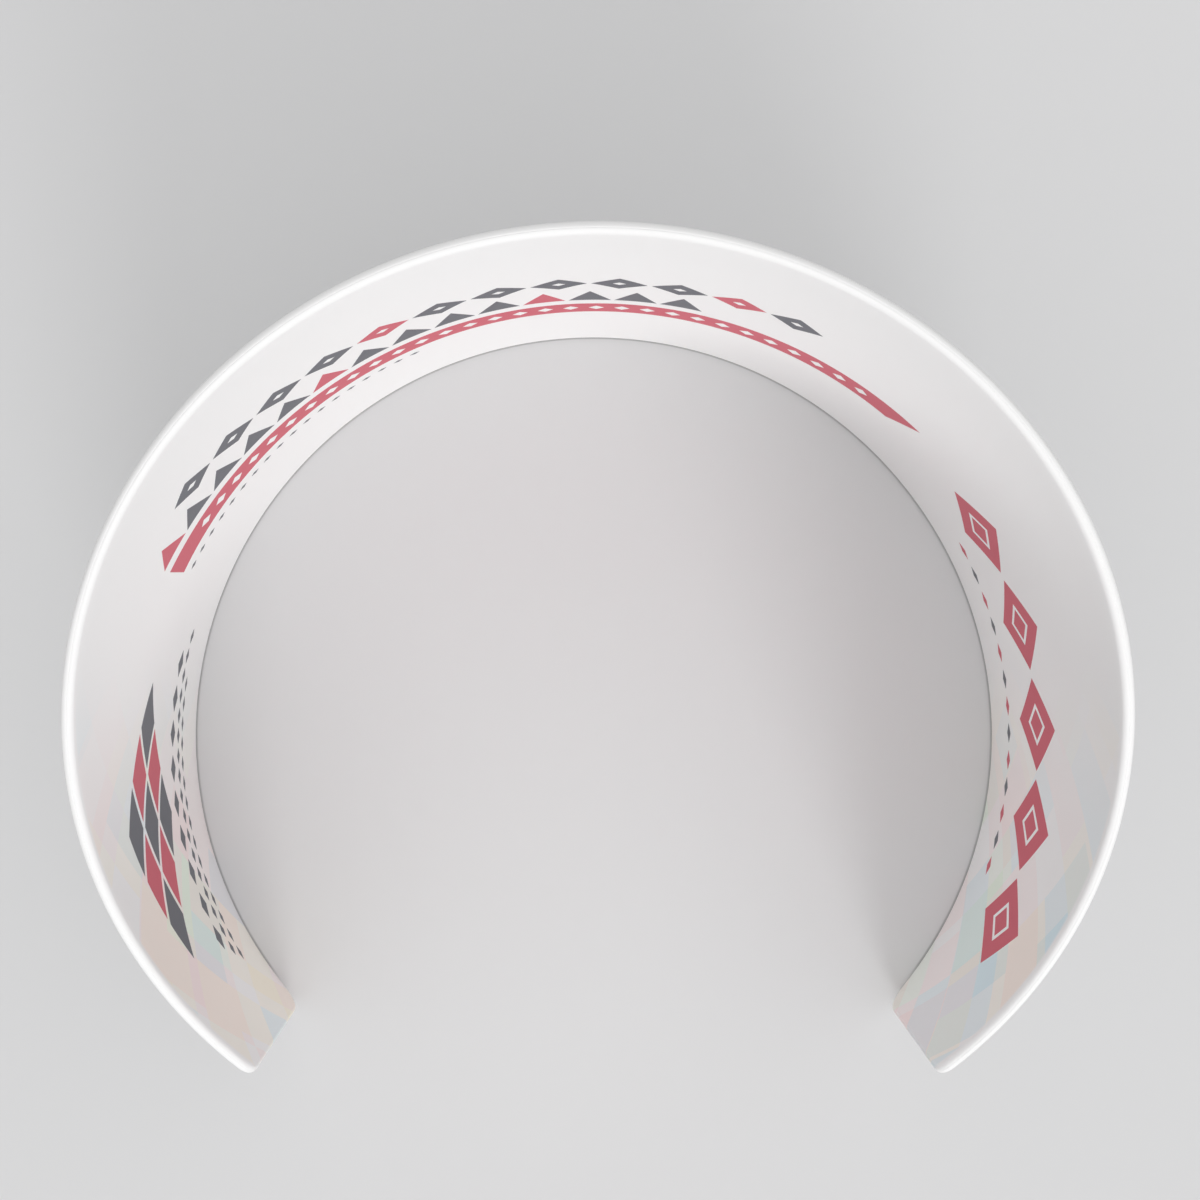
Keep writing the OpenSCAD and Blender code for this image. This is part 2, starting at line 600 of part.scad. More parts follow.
// Pull tab: a stamped plate on a pin that lies in the crown's bore
pull_t = 1.2;
window_l = 5.7;
window_fit = 0.45;
window_w = crown_w + 2 * window_fit;
pull_w = 9;
arm_t = 1.2;
arm_w = window_w + 2 * arm_t;
neck_l = 1.5;
neck_in = 2.5;
module zipper_pull() color(zipper_metal) on_slider() translate([pin_x, 0, 0]) {
  cylinder(d = pin_d, h = arm_w, center = true, $fn = round_fn);
  translate([-pull_t / 2, 0, 0]) rotate([90, 0, 90]) linear_extrude(pull_t) difference() {
    union() {
      translate([0, -arm_w / 2]) square([window_l + neck_l + neck_in, arm_w]);
      translate([window_l + neck_l, -pull_w / 2]) square([pull_l - window_l - neck_l - pull_w / 2, pull_w]);
      translate([pull_l - pull_w / 2, 0]) circle(d = pull_w, $fn = round_fn);
    }
    translate([-past, -window_w / 2]) square([window_l + past, window_w]);
    translate([pull_l - pull_w / 2, 0]) circle(d = pull_w / 2, $fn = round_fn);
  }
}

front_panel();
back_panel();
bottom_rail(1);  // bottom_rail_1
bottom_rail(2);  // bottom_rail_2
bottom_rail(3);  // bottom_rail_3
bottom_rail(4);  // bottom_rail_4
bottom_rail(5);  // bottom_rail_5
top_rail(1);  // top_rail_1
top_rail(2);  // top_rail_2
top_rail(3);  // top_rail_3
top_rail(4);  // top_rail_4
top_rail(5);  // top_rail_5
end_tube_right();
end_tube_left();
upright_lower(1);  // upright_lower_1
upright_lower(2);  // upright_lower_2
upright_lower(3);  // upright_lower_3
upright_lower(4);  // upright_lower_4
upright_lower(5);  // upright_lower_5
upright_upper(1);  // upright_upper_1
upright_upper(2);  // upright_upper_2
upright_upper(3);  // upright_upper_3
upright_upper(4);  // upright_upper_4
upright_upper(5);  // upright_upper_5
foot_sockets();
head_sockets();
bottom_spigots();
top_spigots();
upright_spigots();
bottom_button(1);  // bottom_button_1
bottom_button(2);  // bottom_button_2
bottom_button(3);  // bottom_button_3
bottom_button(4);  // bottom_button_4
bottom_button(5);  // bottom_button_5
bottom_button(6);  // bottom_button_6
top_button(1);  // top_button_1
top_button(2);  // top_button_2
top_button(3);  // top_button_3
top_button(4);  // top_button_4
top_button(5);  // top_button_5
top_button(6);  // top_button_6
upright_button(1);  // upright_button_1
upright_button(2);  // upright_button_2
upright_button(3);  // upright_button_3
upright_button(4);  // upright_button_4
upright_button(5);  // upright_button_5
button_clips();
spigot_rivets();
zipper_upper_tape();
zipper_lower_tape();
zipper_upper_row();
zipper_lower_row();
zipper_stops();
zipper_slider();
zipper_pull();
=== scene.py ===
import json
import math
import bpy
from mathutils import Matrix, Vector


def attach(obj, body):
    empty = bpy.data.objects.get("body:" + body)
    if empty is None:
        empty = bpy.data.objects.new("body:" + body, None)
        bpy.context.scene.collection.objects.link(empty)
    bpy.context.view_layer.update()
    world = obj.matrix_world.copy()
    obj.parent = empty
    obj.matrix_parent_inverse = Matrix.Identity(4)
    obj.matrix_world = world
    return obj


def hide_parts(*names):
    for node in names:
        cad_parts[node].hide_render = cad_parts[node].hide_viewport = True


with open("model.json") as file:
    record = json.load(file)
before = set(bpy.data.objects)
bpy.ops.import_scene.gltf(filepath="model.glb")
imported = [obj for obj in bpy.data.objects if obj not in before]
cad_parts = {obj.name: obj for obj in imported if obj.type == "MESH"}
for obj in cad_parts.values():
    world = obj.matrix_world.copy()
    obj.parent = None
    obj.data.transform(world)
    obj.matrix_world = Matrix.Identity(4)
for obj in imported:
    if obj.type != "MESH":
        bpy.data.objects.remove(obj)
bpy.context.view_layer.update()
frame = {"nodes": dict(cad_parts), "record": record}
nodes = frame["nodes"]
print("frame loaded:", len(nodes), "pieces")

# The wall in metres and degrees, as the frame has it. clothOuter is the cloth's radius round an edge tube,
# footTurn the turn from which its foot roll lies on the floor, and toJoint the way from an end to a joint
wall = {
    "radius": 1.5, "sweep": 263.5,
    "backHeight": 2.3, "sideHeight": 1.765, "endHeight": 1.02,
    "cornerRadius": 0.08, "clothOuter": 0.0181, "footTurn": 75, "toJoint": 0.2,
    "railParts": 5, "railSteps": 10, "bendFits": 4,
}
tubeCircle = wall["radius"] + wall["clothOuter"]  # the tubes' middle line, in plan
firstAngle = 90 - wall["sweep"] / 2


def arcAngle(length):
    return math.degrees(length / tubeCircle)


jointAngle = firstAngle + arcAngle(wall["toJoint"])
chordAngle = (wall["sweep"] - 2 * arcAngle(wall["toJoint"])) / wall["railParts"] / wall["railSteps"]
chordSag = tubeCircle * (1 - math.cos(math.radians(chordAngle / 2)))
frontReach = tubeCircle * math.sin(math.radians(-firstAngle)) + wall["clothOuter"]
centreY = (frontReach - tubeCircle - wall["clothOuter"] - chordSag) / 2
footHeight = wall["clothOuter"] * math.sin(math.radians(wall["footTurn"]))

endSine = math.sin(math.radians(firstAngle))
endRise = wall["endHeight"] - wall["sideHeight"]
backRise = wall["backHeight"] - wall["sideHeight"]
rimSquare = (endRise - backRise * endSine) / (endSine * endSine - endSine)
rimLinear = backRise - rimSquare


def rimHeight(angle):
    s = math.sin(math.radians(angle))
    return wall["sideHeight"] + rimLinear * s + rimSquare * s * s


def rimSlope(angle):
    s, c = math.sin(math.radians(angle)), math.cos(math.radians(angle))
    return (rimLinear + 2 * rimSquare * s) * c / tubeCircle


def bendRun(slope):
    return wall["cornerRadius"] * (1 - math.sin(math.atan(slope)))


endSlope = abs(rimSlope(firstAngle))
for _ in range(wall["bendFits"]):
    endSlope = abs(rimSlope(firstAngle + arcAngle(bendRun(endSlope))))
bendLength = bendRun(endSlope)


def tubeTop(angle):
    return rimHeight(angle) - wall["clothOuter"] * math.hypot(1, rimSlope(angle))


bendTop = tubeTop(firstAngle + arcAngle(bendLength))
bendHeight = bendTop - wall["cornerRadius"] * math.cos(math.atan(endSlope))


def fromEnd(angle):
    return math.radians(wall["sweep"] / 2 - abs(angle - 90)) * tubeCircle


def bendWay(angle):
    out = (wall["cornerRadius"] - fromEnd(angle)) / wall["cornerRadius"]
    return (-1 if angle < 90 else 1) * out, math.sqrt(max(0, 1 - out * out))


def rimTube(angle):  # height of the rim tube's middle, and its way out: along the arc, and up
    if fromEnd(angle) < bendLength:
        side, up = bendWay(angle)
        return bendHeight + wall["cornerRadius"] * up, side, up
    rise = math.hypot(1, rimSlope(angle))
    return tubeTop(angle), -rimSlope(angle) / rise, 1 / rise


def footTube(angle):
    if fromEnd(angle) < wall["cornerRadius"]:
        side, up = bendWay(angle)
        return footHeight + wall["cornerRadius"] * (1 - up), side, -up
    return footHeight, 0, -1


def edgePoint(angle, height, side, up, turn, radius, wide):
    # a point of the cloth round an edge tube: turn is 180 at the inner face, 90 at the seam and 0 outside
    a, t = math.radians(angle), math.radians(turn)
    across = Vector((math.cos(a), math.sin(a), 0))
    along = Vector((-math.sin(a), math.cos(a), 0))
    way = along * side + Vector((0, 0, up))
    p = across * (tubeCircle + (radius + wide) * math.cos(t)) + way * (radius * math.sin(t))
    return Vector((p.x, p.y + centreY, max(0, height + p.z)))


# Cloth panels, each one sheet from the seam under the foot, up the wall and over the rim to the seam there
cloth = {
    "turnSteps": (0, 15, 30, 45, 60, 75, 84, 88.5, 90),
    "seamDip": 0.0012, "dipBeside": 0.3, "thickness": 0.0008, "smoothAngle": 60, "weld": 0.00002,
    "columns": 200, "rows": 22, "cornerSteps": 12, "pastCorner": (0.105, 0.135, 0.168),
    "lowRows": (0.018, 0.07), "waist": 0.005, "waistEase": 0.5,
    "slitLow": 0.0609, "slitHigh": 0.0671, "hem": 0.009, "hemHold": 0.6, "hemRise": 0.0005,
}
cornerSides = [wall["cornerRadius"] * (1 - math.cos(math.radians(90 * k / cloth["cornerSteps"])))
               for k in range(cloth["cornerSteps"] + 1)] + list(cloth["pastCorner"])
jointSpan = 180 - 2 * jointAngle
columnAngles = ([firstAngle + arcAngle(d) for d in cornerSides]
                + [jointAngle + jointSpan * k / cloth["columns"] for k in range(cloth["columns"] + 1)]
                + [180 - firstAngle - arcAngle(d) for d in reversed(cornerSides)])


def alone(obj):
    bpy.ops.object.select_all(action="DESELECT")
    obj.select_set(True)
    bpy.context.view_layer.objects.active = obj


def laidSheet(name, across, up, place):
    # a flat cloth grid whose points are then laid where they belong, with the flat cut as its UV map
    bpy.ops.object.select_all(action="DESELECT")
    bpy.ops.mesh.primitive_grid_add(x_subdivisions=across - 1, y_subdivisions=up - 1, size=1)
    sheet = bpy.context.active_object
    sheet.name = name
    spots = [place(i % across, i // across) for i in range(across * up)]
    for vertex, spot in zip(sheet.data.vertices, spots):
        vertex.co = spot[0]
    cut = sheet.data.uv_layers[0]
    cut.name = "cut"
    for loop in sheet.data.loops:
        cut.data[loop.index].uv = spots[loop.vertex_index][1]
    return sheet


def tubeMiddle(point):
    flat = Vector((point.x, point.y - centreY, 0))
    flat = flat.normalized() * tubeCircle
    return Vector((flat.x, flat.y + centreY, point.z))


def faceOut(sheet):
    # turns the sheet's faces so that they look away from the tubes
    sheet.data.update()
    face = sheet.data.polygons[len(sheet.data.polygons) // 2]
    if face.normal.dot(face.center - tubeMiddle(face.center)) < 0:
        alone(sheet)
        bpy.ops.object.mode_set(mode="EDIT")
        bpy.ops.mesh.select_all(action="SELECT")
        bpy.ops.mesh.flip_normals()
        bpy.ops.object.mode_set(mode="OBJECT")


def joined(name, parts):
    alone(parts[0])
    for part in parts[1:]:
        part.select_set(True)
    bpy.ops.object.join()
    whole = bpy.context.active_object
    whole.name = whole.data.name = name
    bpy.ops.object.mode_set(mode="EDIT")
    bpy.ops.mesh.select_all(action="SELECT")
    bpy.ops.mesh.remove_doubles(threshold=cloth["weld"])
    bpy.ops.object.mode_set(mode="OBJECT")
    return whole


def clothPanel(name, inside, lowRows):
    turns = [180 - t if inside else t for t in cloth["turnSteps"]]
    radii = [wall["clothOuter"]] * len(turns)
    radii[-1] -= cloth["seamDip"]
    radii[-2] -= cloth["seamDip"] * cloth["dipBeside"]
    facing, wide = (-1, 0) if inside else (1, chordSag)
    columns, last = len(columnAngles), len(turns) - 1
    wallRows = len(lowRows) + cloth["rows"] - 1

    def roll(k):
        return math.radians(abs(turns[k] - turns[0])) * wall["clothOuter"]

    def wallHeights(angle):
        low, high = footTube(angle)[0], rimTube(angle)[0]
        near = [low + h for h in lowRows]
        return near + [near[-1] + (high - near[-1]) * k / cloth["rows"] for k in range(1, cloth["rows"])]

    def wallDraw(angle, z):
        # how far the cloth stands off the tubes: drawn in at mid height inside, and raised at the slit's hems
        # outside
        if inside:
            low, high = footTube(angle)[0], rimTube(angle)[0]
            hold = min(1, fromEnd(angle) / cloth["waistEase"])
            bow = math.sin(math.pi * (z - low) / (high - low))
            return cloth["waist"] * bow * hold * hold * (3 - 2 * hold)
        toHem = min(abs(z - edge) for edge in (cloth["slitLow"], cloth["slitHigh"]))
        atHem = toHem < cloth["hem"] * cloth["hemHold"]
        return cloth["hemRise"] if atHem and firstAngle < angle < 180 - firstAngle else 0

    def wallPoint(angle, k):
        z, a = wallHeights(angle)[k], math.radians(angle)
        reach = tubeCircle + (wall["clothOuter"] + wide) * facing + wallDraw(angle, z) * facing
        return Vector((reach * math.cos(a), reach * math.sin(a) + centreY, z))

    def place(i, j):
        angle = columnAngles[i]
        u = math.radians(angle - 90) * wall["radius"]
        if j <= last:
            k = last - j
            height, side, up = footTube(angle)
            return edgePoint(angle, height, side, up, turns[k], radii[k], wide), (u, height - roll(k))
        if j <= last + wallRows:
            p = wallPoint(angle, j - last - 1)
            return p, (u, p.z)
        k = j - last - wallRows - 1
        height, side, up = rimTube(angle)
        return edgePoint(angle, height, side, up, turns[k], radii[k], wide), (u, height + roll(k))

    parts = [laidSheet(name, columns, 2 * (last + 1) + wallRows, place)]
    for angle in (columnAngles[0], columnAngles[-1]):
        highest = rimTube(angle)
        heights = [footTube(angle)[0]] + wallHeights(angle) + [highest[0]]
        u = math.radians(angle - 90) * wall["radius"]

        def placeEnd(i, j, angle=angle, heights=heights, u=u, way=highest[1]):
            return (edgePoint(angle, heights[j], way, 0, turns[i], radii[i], wide),
                    (u + math.copysign(roll(i), u), heights[j]))

        parts.append(laidSheet(name + "End", last + 1, len(heights), placeEnd))
    for part in parts:
        faceOut(part)
    return joined(name, parts)


def cutSlit(panel):
    # opens the zipper's slit between the two hems
    alone(panel)
    bpy.ops.object.mode_set(mode="EDIT")
    bpy.ops.mesh.select_mode(type="FACE")
    bpy.ops.mesh.select_all(action="DESELECT")
    bpy.ops.object.mode_set(mode="OBJECT")
    for face in panel.data.polygons:
        x, y, z = face.center
        angle = (math.degrees(math.atan2(y - centreY, x)) + 90) % 360 - 90
        upright = abs(face.normal.z) < 0.5
        inSlit = cloth["slitLow"] < z < cloth["slitHigh"]
        face.select = upright and inSlit and jointAngle < angle < 180 - jointAngle
    bpy.ops.object.mode_set(mode="EDIT")
    bpy.ops.mesh.delete(type="FACE")
    bpy.ops.object.mode_set(mode="OBJECT")


def finishCloth(panel):
    # gives the sheet its thickness, and gives back its area
    area = sum(face.area for face in panel.data.polygons)
    alone(panel)
    thick = panel.modifiers.new("cloth", "SOLIDIFY")
    thick.thickness = cloth["thickness"]
    thick.offset = -1
    thick.use_even_offset = True
    bpy.ops.object.modifier_apply(modifier=thick.name)
    bpy.ops.object.shade_smooth_by_angle(angle=math.radians(cloth["smoothAngle"]))
    return area


def slitRows():
    low, high, hem = cloth["slitLow"], cloth["slitHigh"], cloth["hem"]
    return [z - footHeight for z in (low - hem, low - hem / 2, low, high, high + hem / 2, high + hem)]


frontCover = clothPanel("front_cover", True, cloth["lowRows"])
frontArea = finishCloth(frontCover)
backCover = clothPanel("back_cover", False, slitRows())
cutSlit(backCover)
backArea = finishCloth(backCover)
print("cloth panels:", round(frontArea, 2), "and", round(backArea, 2), "square metres")

for panel, node, area in ((frontCover, "front_panel", frontArea), (backCover, "back_panel", backArea)):
    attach(panel, "booth")
    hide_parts(node)

# Zipper rows of small moulded teeth, one tooth copied along each row
teeth = {
    "pitch": 0.004, "length": 0.0026, "height": 0.00185, "depth": 0.0022, "taper": 0.8,
    "middle": 0.064, "gap": 0.0014, "rowAside": 0.001, "tapeFace": 0.0168, "stopLength": 0.0045,
}


def oneTooth(name):
    # a block on the tape, along the y axis, with its outer face a little smaller
    bpy.ops.object.select_all(action="DESELECT")
    bpy.ops.mesh.primitive_cube_add(size=1)
    tooth = bpy.context.active_object
    tooth.name = tooth.data.name = name
    bpy.ops.object.mode_set(mode="EDIT")
    bpy.ops.mesh.select_all(action="SELECT")
    bpy.ops.transform.resize(value=(teeth["depth"], teeth["length"], teeth["height"]))
    bpy.ops.transform.translate(value=(teeth["depth"] / 2, 0, 0))
    bpy.ops.mesh.select_all(action="DESELECT")
    bpy.ops.mesh.select_mode(type="FACE")
    bpy.ops.object.mode_set(mode="OBJECT")
    max(tooth.data.polygons, key=lambda face: face.normal.x).select = True
    bpy.ops.object.mode_set(mode="EDIT")
    bpy.ops.transform.resize(value=(1, teeth["taper"], teeth["taper"]))
    bpy.ops.object.mode_set(mode="OBJECT")
    return tooth


def toothRow(name, way):
    toTooth = arcAngle(teeth["stopLength"] + teeth["length"])
    start, stop = jointAngle + toTooth, 180 - jointAngle - toTooth
    count = int((stop - start) / arcAngle(teeth["pitch"]))
    row = oneTooth(name)
    copies = row.modifiers.new("copies", "ARRAY")
    copies.count = count + 1
    copies.use_relative_offset = False
    copies.use_constant_offset = True
    copies.constant_offset_displace = (0, teeth["pitch"], 0)
    bpy.ops.object.modifier_apply(modifier=copies.name)
    # the straight row is laid round the arc, and its pitch is evened out to reach both stops
    middle = teeth["middle"] + way * (teeth["gap"] / 2 + teeth["rowAside"])
    for vertex in row.data.vertices:
        x, y, z = vertex.co
        index = round(y / teeth["pitch"])
        aside = y - index * teeth["pitch"]
        a = math.radians(start + (stop - start) * index / count)
        s, c, r = math.sin(a), math.cos(a), tubeCircle + teeth["tapeFace"] + x
        vertex.co = (r * c - aside * s, r * s + aside * c + centreY, middle + z)
    return row


upperTeeth = toothRow("upper_teeth", 1)
lowerTeeth = toothRow("lower_teeth", -1)
for row, node in ((upperTeeth, "zipper_upper_row"), (lowerTeeth, "zipper_lower_row")):
    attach(row, "booth")
    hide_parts(node)
print("zipper teeth:", len(upperTeeth.data.polygons) // 6, "a row")


# Materials
def newMaterial(name):
    material = bpy.data.materials.new(name)
    material.use_nodes = True
    tree = material.node_tree
    return material, tree, tree.nodes["Principled BSDF"]


def setSockets(node, values):
    for socket, value in values.items():
        node.inputs[socket].default_value = value


def feed(tree, socket, value):
    # a number or a colour is set on the socket, and an output is linked to it
    if isinstance(value, (int, float)):
        socket.default_value = value
    elif isinstance(value, tuple):
        socket.default_value = (*value, 1)
    else:
        tree.links.new(value, socket)


def mathIn(tree):
    def calc(operation, *values):
        node = tree.nodes.new("ShaderNodeMath")
        node.operation = operation
        for socket, value in zip(node.inputs, values):
            feed(tree, socket, value)
        return node.outputs[0]
    return calc


def mixIn(tree):
    def mix(share, below, above):
        node = tree.nodes.new("ShaderNodeMix")
        node.data_type = "RGBA"
        for index, value in ((0, share), (6, below), (7, above)):
            feed(tree, node.inputs[index], value)
        return node.outputs[2]
    return mix


def easeIn(tree):
    def ease(value, low, high):
        rise = tree.nodes.new("ShaderNodeMapRange")
        rise.interpolation_type = "SMOOTHSTEP"
        tree.links.new(value, rise.inputs["Value"])
        setSockets(rise, {"From Min": low, "From Max": high})
        return rise.outputs[0]
    return ease


def objectPlace(tree):
    return tree.nodes.new("ShaderNodeTexCoord").outputs["Object"]


def splitUp(tree, vector):
    split = tree.nodes.new("ShaderNodeSeparateXYZ")
    tree.links.new(vector, split.inputs[0])
    return split.outputs


def noiseAt(tree, vector, scale, detail=2):
    noise = tree.nodes.new("ShaderNodeTexNoise")
    setSockets(noise, {"Scale": scale, "Detail": detail})
    tree.links.new(vector, noise.inputs["Vector"])
    return noise.outputs["Fac"]


def addBump(tree, shader, height, strength, distance):
    bump = tree.nodes.new("ShaderNodeBump")
    setSockets(bump, {"Strength": strength, "Distance": distance})
    tree.links.new(height, bump.inputs["Height"])
    tree.links.new(bump.outputs["Normal"], shader.inputs["Normal"])


# Cloth surface: a fine knit with wales across and courses up, and a slow unevenness of the stretched cloth
knit = {
    "walePitch": 0.0012, "coursePitch": 0.001, "depth": 0.00006,
    "slowScale": 1.7, "slowDetail": 1.5, "slowDepth": 0.004, "strength": 0.2, "distance": 1,
}
clothSurface = {"Roughness": 0.78, "Specular IOR Level": 0.28, "Sheen Roughness": 0.5}
sheen = {"wall": 0.12, "rim": 0.38}  # more on the rim's roll, so that its white band is wider seen from above


def clothCoordinates(tree):
    cut = tree.nodes.new("ShaderNodeUVMap")
    cut.uv_map = "cut"
    return splitUp(tree, cut.outputs[0])[:2]


def finishKnit(tree, shader, u, v, sheenWeight):
    calc = mathIn(tree)
    wales = calc("SINE", calc("MULTIPLY", u, 2 * math.pi / knit["walePitch"]))
    courses = calc("SINE", calc("MULTIPLY", v, 2 * math.pi / knit["coursePitch"]))
    grain = calc("MULTIPLY", calc("MULTIPLY", wales, courses), knit["depth"])
    join = tree.nodes.new("ShaderNodeCombineXYZ")
    tree.links.new(u, join.inputs[0])
    tree.links.new(v, join.inputs[1])
    slow = noiseAt(tree, join.outputs[0], knit["slowScale"], knit["slowDetail"])
    height = calc("ADD", grain, calc("MULTIPLY", slow, knit["slowDepth"]))
    addBump(tree, shader, height, knit["strength"], knit["distance"])
    setSockets(shader, clothSurface)
    feed(tree, shader.inputs["Sheen Weight"], sheenWeight)


inks = {
    "white": (0.90, 0.895, 0.895), "red": (0.60, 0.098, 0.14), "charcoal": (0.118, 0.122, 0.142),
    "blue": (0.62, 0.80, 0.87), "pink": (0.93, 0.76, 0.75), "sand": (0.93, 0.86, 0.70),
    "green": (0.77, 0.88, 0.74),
}
# Print on the inner panel, in metres: u runs along the wall from the middle of the back, to the left, and v
# is the height. A row's marks lie between its right and left, and fill is half a mark's share of its pitch
stripe = {
    "left": 1.72, "right": -1.165, "slant": 0.105,
    "low": 0.80, "lowRise": 0.21, "top": 1.002, "topRise": 0.245,
    "markPitch": 0.085, "markHalf": 0.026, "markTall": 0.2, "markFrom": -0.98, "markTo": 1.57,
}
peakRow = {
    "pitch": 0.148, "right": -0.35, "left": 1.722, "height": 0.195, "above": 0.085, "fill": 0.47,
    "redEvery": 5, "redFirst": 3,
}
lozengeRow = {
    "pitch": 0.186, "right": -0.72, "left": 1.512, "height": 0.205, "above": 0.345, "fill": 0.47,
    "hole": 0.24, "redEvery": 6, "redFirst": 1,
}
dotRow = {"pitch": 0.062, "right": 0.606, "left": 1.722, "below": 0.105, "half": 0.019}
bigRow = {
    "pitch": 0.346, "right": -3.12, "left": -1.39, "bottom": 0.58, "height": 0.52, "fall": 0.065,
    "fill": 0.46, "lineFrom": 0.34, "lineTo": 0.46,
}
lowRow = {
    "pitch": 0.098, "right": -2.86, "left": -1.586, "height": 0.36, "fall": 0.045,
    "halfWide": 0.0364, "halfTall": 0.028, "redEvery": 2,
}
cluster = {
    "u": 2.58, "v": 0.88, "wide": 0.33, "tall": 0.225, "cells": 1.5, "gap": 0.44,
    "redEvery": 2, "redFirst": 1,
}
footRows = (  # pitch, right, left, height, half width and half height of a mark
    (0.125, 2.0, 3.125, 0.455, 0.05, 0.04),
    (0.0725, 1.93, 3.162, 0.355, 0.03, 0.023),
    (0.0725, 2.11, 3.197, 0.283, 0.03, 0.018),
)
# Faint lozenges fade in along u, and stop short of the rim. A layer is its scale, its shifts in u and v, and
# its seed
facets = {
    "from": 1.95, "full": 2.9, "rimClear": 0.02, "rimFade": 0.05,
    "wide": 0.46, "tall": 0.62, "strength": 0.76, "evenMix": 0.5,
    "layers": ((1, 0.1, 0.05, 3.0), (0.62, 0.3, 0.2, 8.0)),
    "inkSteps": ((0.3, "blue"), (0.47, "pink"), (0.69, "sand"), (0.9, "green")),
}


class Masks:
    # masks made of math nodes, each 1 on its marks and 0 beside them
    def __init__(self, tree):
        self.calc = mathIn(tree)

    def above(self, value, limit):
        return self.calc("GREATER_THAN", value, limit)

    def below(self, value, limit):
        return self.calc("LESS_THAN", value, limit)

    def folded(self, operation, masks):
        whole = masks[0]
        for mask in masks[1:]:
            whole = self.calc(operation, whole, mask)
        return whole

    def both(self, *masks):
        return self.folded("MULTIPLY", masks)

    def either(self, *masks):
        return self.folded("MAXIMUM", masks)

    def between(self, value, low, high):
        return self.both(self.above(value, low), self.below(value, high))

    def away(self, value, half):
        return self.calc("DIVIDE", self.calc("ABSOLUTE", value), half)

    def lozenge(self, x, y, halfWide, halfTall):
        # 0 in a lozenge's middle and 1 on its edge
        return self.calc("ADD", self.away(x, halfWide), self.away(y, halfTall))

    def inRow(self, value, pitch, start):
        # the way from the middle of the mark that value lies in, and that mark's number
        turns = self.calc("DIVIDE", self.calc("SUBTRACT", value, start), pitch)
        index = self.calc("FLOOR", turns)
        share = self.calc("SUBTRACT", self.calc("SUBTRACT", turns, index), 0.5)
        return self.calc("MULTIPLY", share, pitch), index

    def everyNth(self, index, count, first=0):
        place = self.calc("SUBTRACT", self.calc("FLOORED_MODULO", index, count), first)
        return self.below(self.calc("ABSOLUTE", place), 0.5)


def stripeMarks(masks, u, v, drop):
    # the stripe and the marks in it, with its lower and upper edges
    calc = masks.calc
    low = calc("MULTIPLY_ADD", drop, stripe["lowRise"], stripe["low"])
    top = calc("MULTIPLY_ADD", drop, stripe["topRise"], stripe["top"])
    share = calc("DIVIDE", calc("SUBTRACT", v, low), calc("SUBTRACT", top, low))
    slant = calc("MULTIPLY_ADD", calc("SUBTRACT", 1, share), stripe["slant"], stripe["right"])
    band = masks.both(masks.between(share, 0, 1), masks.below(u, stripe["left"]), masks.above(u, slant))
    x = masks.inRow(u, stripe["markPitch"], stripe["markFrom"])[0]
    size = masks.lozenge(x, calc("SUBTRACT", share, 0.5), stripe["markHalf"], stripe["markTall"])
    holes = masks.both(band, masks.below(size, 1), masks.between(u, stripe["markFrom"], stripe["markTo"]))
    return band, holes, low, top


def peakMarks(masks, u, over):
    calc, row = masks.calc, peakRow
    x, index = masks.inRow(u, row["pitch"], row["right"])
    rise = calc("DIVIDE", calc("SUBTRACT", over, row["above"]), row["height"])
    size = calc("ADD", masks.away(x, row["pitch"] * row["fill"]), rise)
    inside = masks.between(u, row["right"], row["left"])
    marks = masks.both(masks.below(size, 1), masks.above(rise, 0), inside)
    return marks, masks.both(marks, masks.everyNth(index, row["redEvery"], row["redFirst"]))


def lozengeMarks(masks, u, over):
    row = lozengeRow
    x, index = masks.inRow(u, row["pitch"], row["right"])
    y = masks.calc("SUBTRACT", over, row["above"] + row["height"] / 2)
    size = masks.lozenge(x, y, row["pitch"] * row["fill"], row["height"] / 2)
    marks = masks.both(masks.below(size, 1), masks.between(u, row["right"], row["left"]))
    reds = masks.both(marks, masks.everyNth(index, row["redEvery"], row["redFirst"]))
    return marks, reds, masks.both(marks, masks.below(size, row["hole"]))


def smallMarks(masks, u, y, pitch, right, left, halfWide, halfTall):
    # a row of small lozenges, y being the way from the row's middle height
    x, index = masks.inRow(u, pitch, right)
    size = masks.lozenge(x, y, halfWide, halfTall)
    return masks.both(masks.below(size, 1), masks.between(u, right, left)), index


def bigMarks(masks, u, v):
    calc, row = masks.calc, bigRow
    x = masks.inRow(u, row["pitch"], row["right"])[0]
    halfTall = row["height"] / 2
    middle = calc("MULTIPLY_ADD", calc("SUBTRACT", u, row["left"]), row["fall"], row["bottom"] + halfTall)
    size = masks.lozenge(x, calc("SUBTRACT", v, middle), row["pitch"] * row["fill"], halfTall)
    marks = masks.both(masks.below(size, 1), masks.between(u, row["right"], row["left"]))
    return marks, masks.both(marks, masks.between(size, row["lineFrom"], row["lineTo"]))


def lowMarks(masks, u, v):
    calc, row = masks.calc, lowRow
    middle = calc("MULTIPLY_ADD", calc("SUBTRACT", u, row["left"]), row["fall"], row["height"])
    y = calc("SUBTRACT", v, middle)
    marks, index = smallMarks(masks, u, y, row["pitch"], row["right"], row["left"],
                              row["halfWide"], row["halfTall"])
    return marks, masks.both(marks, masks.everyNth(index, row["redEvery"]))


